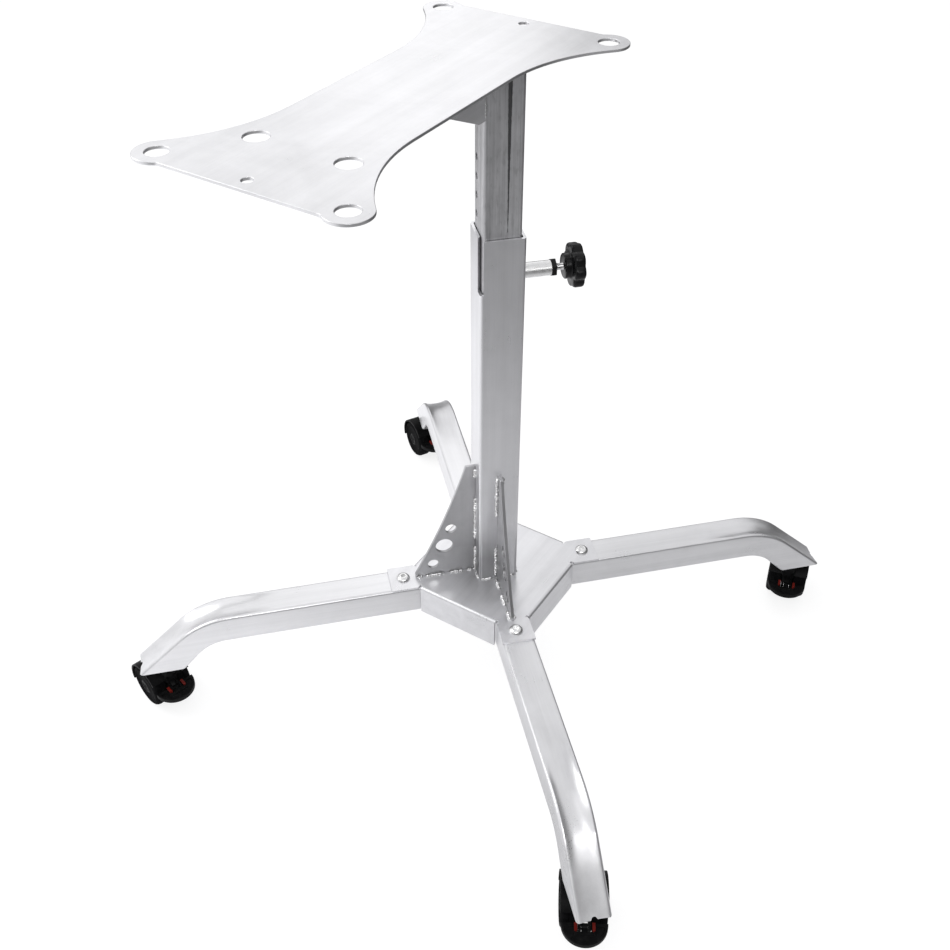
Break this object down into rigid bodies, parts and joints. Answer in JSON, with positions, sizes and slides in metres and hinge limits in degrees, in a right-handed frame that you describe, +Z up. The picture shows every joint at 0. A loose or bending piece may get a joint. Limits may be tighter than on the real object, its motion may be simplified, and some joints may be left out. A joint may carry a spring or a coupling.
{
  "type": "mobile height-adjustable machine stand",
  "caption": "Wheeled stand with a waisted, drilled top plate on a telescoping square mast clamped by a star knob, over bent tube legs with braked casters.",
  "frame": {"origin": "on the floor under the middle of the whole stand's box, as drawn; the mast's centre line is at x 12 mm, y 5 mm", "axes": "+Z up, +Y towards the mast end of the top plate, so the plate's free end looks along -Y; the legs lie on the diagonals"},
  "size_m": [0.7123, 0.7438, 0.844],
  "materials": {
    "plate_steel": "pale satin, faint rolling marks",
    "frame_steel": "satin silver, ground and clear coated",
    "tube_steel": "drawn mill finish with lengthwise streaks",
    "bright_steel": "bright zinc plate",
    "dark_steel": "blackened",
    "knob_plastic": "moulded, semi-gloss",
    "brass": "turned",
    "caster_plastic": "moulded nylon",
    "wheel_tread": "worn hard tread",
    "brake_plastic": "moulded dark red"
  },
  "bodies": {
    "base": {"hub_plate": "frame_steel", "leg_front_left": "frame_steel", "leg_front_right": "frame_steel", "leg_rear_left": "frame_steel", "leg_rear_right": "frame_steel", "leg_bolts": "bright_steel", "leg_nuts": "bright_steel", "mast_sleeve": "frame_steel", "gusset_front_left": "frame_steel", "gusset_front_right": "frame_steel", "threaded_boss": "bright_steel", "jam_nut": "dark_steel", "stem_socket_front_left": "caster_plastic", "stem_socket_front_right": "caster_plastic", "stem_socket_rear_left": "caster_plastic", "stem_socket_rear_right": "caster_plastic", "caster_stem_front_left": "bright_steel", "caster_stem_front_right": "bright_steel", "caster_stem_rear_left": "bright_steel", "caster_stem_rear_right": "bright_steel"},
    "mast": {"inner_tube": "tube_steel", "top_plate": "plate_steel", "plate_gusset": "tube_steel"},
    "clamp_pad": {"clamp_pad": "brass"},
    "clamp_screw": {"clamp_screw": "bright_steel", "star_knob": "knob_plastic"},
    "caster_front_left": {"caster_hood_front_left": "caster_plastic", "caster_axle_front_left": "bright_steel", "brake_pin_front_left": "bright_steel"},
    "wheel_left_front_left": {"wheel_left_front_left": "wheel_tread"},
    "wheel_right_front_left": {"wheel_right_front_left": "wheel_tread"},
    "brake_lever_front_left": {"brake_lever_front_left": "caster_plastic"},
    "caster_front_right": {"caster_hood_front_right": "caster_plastic", "caster_axle_front_right": "bright_steel", "brake_pin_front_right": "bright_steel"},
    "wheel_left_front_right": {"wheel_left_front_right": "wheel_tread"},
    "wheel_right_front_right": {"wheel_right_front_right": "wheel_tread"},
    "brake_lever_front_right": {"brake_lever_front_right": "caster_plastic"},
    "caster_rear_left": {"caster_hood_rear_left": "caster_plastic", "caster_axle_rear_left": "bright_steel", "brake_pin_rear_left": "bright_steel"},
    "wheel_left_rear_left": {"wheel_left_rear_left": "wheel_tread"},
    "wheel_right_rear_left": {"wheel_right_rear_left": "wheel_tread"},
    "brake_lever_rear_left": {"brake_lever_rear_left": "caster_plastic"},
    "caster_rear_right": {"caster_hood_rear_right": "caster_plastic", "caster_axle_rear_right": "bright_steel", "brake_pin_rear_right": "bright_steel"},
    "wheel_left_rear_right": {"wheel_left_rear_right": "wheel_tread"},
    "wheel_right_rear_right": {"wheel_right_rear_right": "wheel_tread"},
    "brake_lever_rear_right": {"brake_lever_rear_right": "caster_plastic"}
  },
  "joints": [
    {"name": "mast_slide", "type": "slide", "parent": "base", "child": "mast", "axis": [0, 0, 1], "range_m": [-0.185, 0.075]},
    {"name": "screw_feed", "type": "slide", "parent": "base", "child": "clamp_pad", "axis": [0.7071, 0.7071, 0], "range_m": [-0.0007, 0.008]},
    {"name": "knob_turn", "type": "hinge", "parent": "clamp_pad", "child": "clamp_screw", "pos_m": [0.05443, 0.04743, 0.592], "axis": [0.7071, 0.7071, 0], "range_deg": [-200, 2300]},
    {"name": "swivel_front_left", "type": "hinge", "parent": "base", "child": "caster_front_left", "pos_m": [-0.2963, -0.3033, 0.06], "axis": [0, 0, 1], "continuous": true},
    {"name": "spin_left_front_left", "type": "hinge", "parent": "caster_front_left", "child": "wheel_left_front_left", "pos_m": [-0.31562, -0.29812, 0.03], "axis": [0.2588, 0.9659, 0], "continuous": true},
    {"name": "spin_right_front_left", "type": "hinge", "parent": "caster_front_left", "child": "wheel_right_front_left", "pos_m": [-0.31562, -0.29812, 0.03], "axis": [0.2588, 0.9659, 0], "continuous": true},
    {"name": "brake_front_left", "type": "hinge", "parent": "caster_front_left", "child": "brake_lever_front_left", "pos_m": [-0.28181, -0.30718, 0.038], "axis": [0.2588, 0.9659, 0], "range_deg": [0, 18]},
    {"name": "swivel_front_right", "type": "hinge", "parent": "base", "child": "caster_front_right", "pos_m": [0.3203, -0.3033, 0.06], "axis": [0, 0, 1], "continuous": true},
    {"name": "spin_left_front_right", "type": "hinge", "parent": "caster_front_right", "child": "wheel_left_front_right", "pos_m": [0.3103, -0.28598, 0.03], "axis": [0.866, 0.5, 0], "continuous": true},
    {"name": "spin_right_front_right", "type": "hinge", "parent": "caster_front_right", "child": "wheel_right_front_right", "pos_m": [0.3103, -0.28598, 0.03], "axis": [0.866, 0.5, 0], "continuous": true},
    {"name": "brake_front_right", "type": "hinge", "parent": "caster_front_right", "child": "brake_lever_front_right", "pos_m": [0.3278, -0.31629, 0.038], "axis": [0.866, 0.5, 0], "range_deg": [0, 18]},
    {"name": "swivel_rear_left", "type": "hinge", "parent": "base", "child": "caster_rear_left", "pos_m": [-0.2963, 0.3133, 0.06], "axis": [0, 0, 1], "continuous": true},
    {"name": "spin_left_rear_left", "type": "hinge", "parent": "caster_rear_left", "child": "wheel_left_rear_left", "pos_m": [-0.31362, 0.3233, 0.03], "axis": [0.5, 0.866, 0], "continuous": true},
    {"name": "spin_right_rear_left", "type": "hinge", "parent": "caster_rear_left", "child": "wheel_right_rear_left", "pos_m": [-0.31362, 0.3233, 0.03], "axis": [0.5, 0.866, 0], "continuous": true},
    {"name": "brake_rear_left", "type": "hinge", "parent": "caster_rear_left", "child": "brake_lever_rear_left", "pos_m": [-0.28331, 0.3058, 0.038], "axis": [0.5, 0.866, 0], "range_deg": [0, 18]},
    {"name": "swivel_rear_right", "type": "hinge", "parent": "base", "child": "caster_rear_right", "pos_m": [0.3203, 0.3133, 0.06], "axis": [0, 0, 1], "continuous": true},
    {"name": "spin_left_rear_right", "type": "hinge", "parent": "caster_rear_right", "child": "wheel_left_rear_right", "pos_m": [0.31512, 0.33262, 0.03], "axis": [0.9659, 0.2588, 0], "continuous": true},
    {"name": "spin_right_rear_right", "type": "hinge", "parent": "caster_rear_right", "child": "wheel_right_rear_right", "pos_m": [0.31512, 0.33262, 0.03], "axis": [0.9659, 0.2588, 0], "continuous": true},
    {"name": "brake_rear_right", "type": "hinge", "parent": "caster_rear_right", "child": "brake_lever_rear_right", "pos_m": [0.32418, 0.29881, 0.038], "axis": [0.9659, 0.2588, 0], "range_deg": [0, 18]}
  ],
  "couplings": [
    {"joint": "screw_feed", "follows": "knob_turn", "m_per_rad": 0.00019894}
  ]
}
